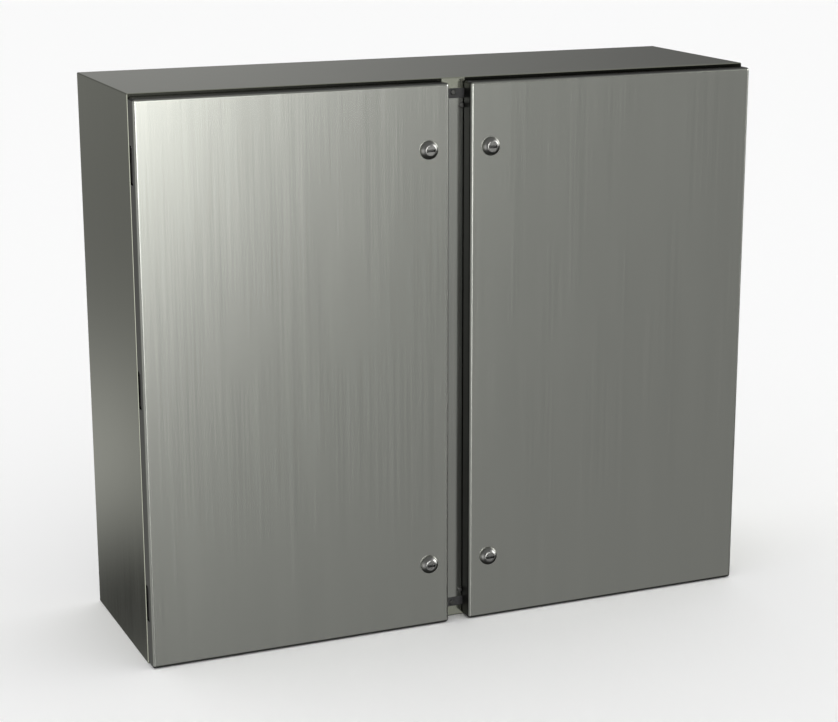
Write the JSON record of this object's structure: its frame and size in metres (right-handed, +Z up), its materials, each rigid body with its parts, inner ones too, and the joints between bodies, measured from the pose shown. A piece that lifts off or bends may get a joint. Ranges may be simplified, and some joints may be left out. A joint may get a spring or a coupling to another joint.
{
  "type": "industrial switchboard cabinet",
  "caption": "Wall-mounted stainless steel switchboard cabinet with double doors on concealed hinges, quarter-turn locks, a centre post and an equipment plate.",
  "frame": {"origin": "underside of the cabinet, centred left to right and between the front of the lock heads and the rear panel", "axes": "+X to the right seen from the front, +Y towards the rear panel and wall, +Z up"},
  "size_m": [1.0668, 0.3418, 0.9144],
  "materials": {
    "stainless_body": "brushed, satin",
    "stainless_door": "vertically brushed, satin",
    "galvanised_plate": "hot-dip galvanised",
    "rail_zinc": "zinc plated",
    "hinge_steel": "satin",
    "lock_chrome": "polished",
    "lock_insert": "dull",
    "zinc_fixings": "bright zinc",
    "rubber": "matt black",
    "gasket_foam": "matt foam"
  },
  "bodies": {
    "cabinet": {"body_shell": "stainless_body", "rear_panel": "stainless_body", "centre_post": "stainless_body", "post_stiffener": "stainless_body", "post_bracket_upper": "stainless_body", "post_bracket_lower": "stainless_body", "post_seal_upper": "rubber", "post_seal_lower": "rubber", "gland_gasket_left": "rubber", "gland_gasket_right": "rubber", "post_screws": "zinc_fixings", "gland_screws": "zinc_fixings", "plate_nuts": "zinc_fixings", "plate_studs": "zinc_fixings", "body_earth_stud": "zinc_fixings", "mounting_plate": "galvanised_plate", "gland_plate_left": "stainless_body", "gland_plate_right": "stainless_body", "left_hinge_frame_leaf_upper": "hinge_steel", "left_hinge_frame_leaf_middle": "hinge_steel", "left_hinge_frame_leaf_lower": "hinge_steel", "left_hinge_pins": "zinc_fixings", "right_hinge_frame_leaf_upper": "hinge_steel", "right_hinge_frame_leaf_middle": "hinge_steel", "right_hinge_frame_leaf_lower": "hinge_steel", "right_hinge_pins": "zinc_fixings"},
    "left_door_leaf": {"left_door": "stainless_door", "left_door_gasket": "gasket_foam", "left_door_rails": "rail_zinc", "left_door_earth_stud": "zinc_fixings", "left_hinge_door_leaf_upper": "hinge_steel", "left_hinge_door_leaf_middle": "hinge_steel", "left_hinge_door_leaf_lower": "hinge_steel", "left_upper_lock_housing": "lock_chrome", "left_lower_lock_housing": "lock_chrome", "left_lock_washers": "rubber", "left_lock_nuts": "zinc_fixings"},
    "left_upper_lock": {"left_upper_lock_core": "lock_insert", "left_upper_lock_cam": "zinc_fixings", "left_upper_lock_cam_screw": "zinc_fixings"},
    "left_lower_lock": {"left_lower_lock_core": "lock_insert", "left_lower_lock_cam": "zinc_fixings", "left_lower_lock_cam_screw": "zinc_fixings"},
    "right_door_leaf": {"right_door": "stainless_door", "right_door_gasket": "gasket_foam", "right_door_rails": "rail_zinc", "right_door_earth_stud": "zinc_fixings", "right_hinge_door_leaf_upper": "hinge_steel", "right_hinge_door_leaf_middle": "hinge_steel", "right_hinge_door_leaf_lower": "hinge_steel", "right_upper_lock_housing": "lock_chrome", "right_lower_lock_housing": "lock_chrome", "right_lock_washers": "rubber", "right_lock_nuts": "zinc_fixings"},
    "right_upper_lock": {"right_upper_lock_core": "lock_insert", "right_upper_lock_cam": "zinc_fixings", "right_upper_lock_cam_screw": "zinc_fixings"},
    "right_lower_lock": {"right_lower_lock_core": "lock_insert", "right_lower_lock_cam": "zinc_fixings", "right_lower_lock_cam_screw": "zinc_fixings"}
  },
  "joints": [
    {"name": "left_door_hinge", "type": "hinge", "parent": "cabinet", "child": "left_door_leaf", "pos_m": [-0.5284, -0.1444, 0.4572], "axis": [0, 0, -1], "range_deg": [0, 130]},
    {"name": "left_upper_lock_turn", "type": "hinge", "parent": "left_door_leaf", "child": "left_upper_lock", "pos_m": [-0.054, -0.1619, 0.8048], "axis": [0, -1, 0], "range_deg": [0, 90]},
    {"name": "left_lower_lock_turn", "type": "hinge", "parent": "left_door_leaf", "child": "left_lower_lock", "pos_m": [-0.054, -0.1619, 0.1096], "axis": [0, -1, 0], "range_deg": [0, 90]},
    {"name": "right_door_hinge", "type": "hinge", "parent": "cabinet", "child": "right_door_leaf", "pos_m": [0.5284, -0.1444, 0.4572], "axis": [0, 0, 1], "range_deg": [0, 130]},
    {"name": "right_upper_lock_turn", "type": "hinge", "parent": "right_door_leaf", "child": "right_upper_lock", "pos_m": [0.054, -0.1619, 0.8048], "axis": [0, 1, 0], "range_deg": [0, 90]},
    {"name": "right_lower_lock_turn", "type": "hinge", "parent": "right_door_leaf", "child": "right_lower_lock", "pos_m": [0.054, -0.1619, 0.1096], "axis": [0, 1, 0], "range_deg": [0, 90]}
  ]
}
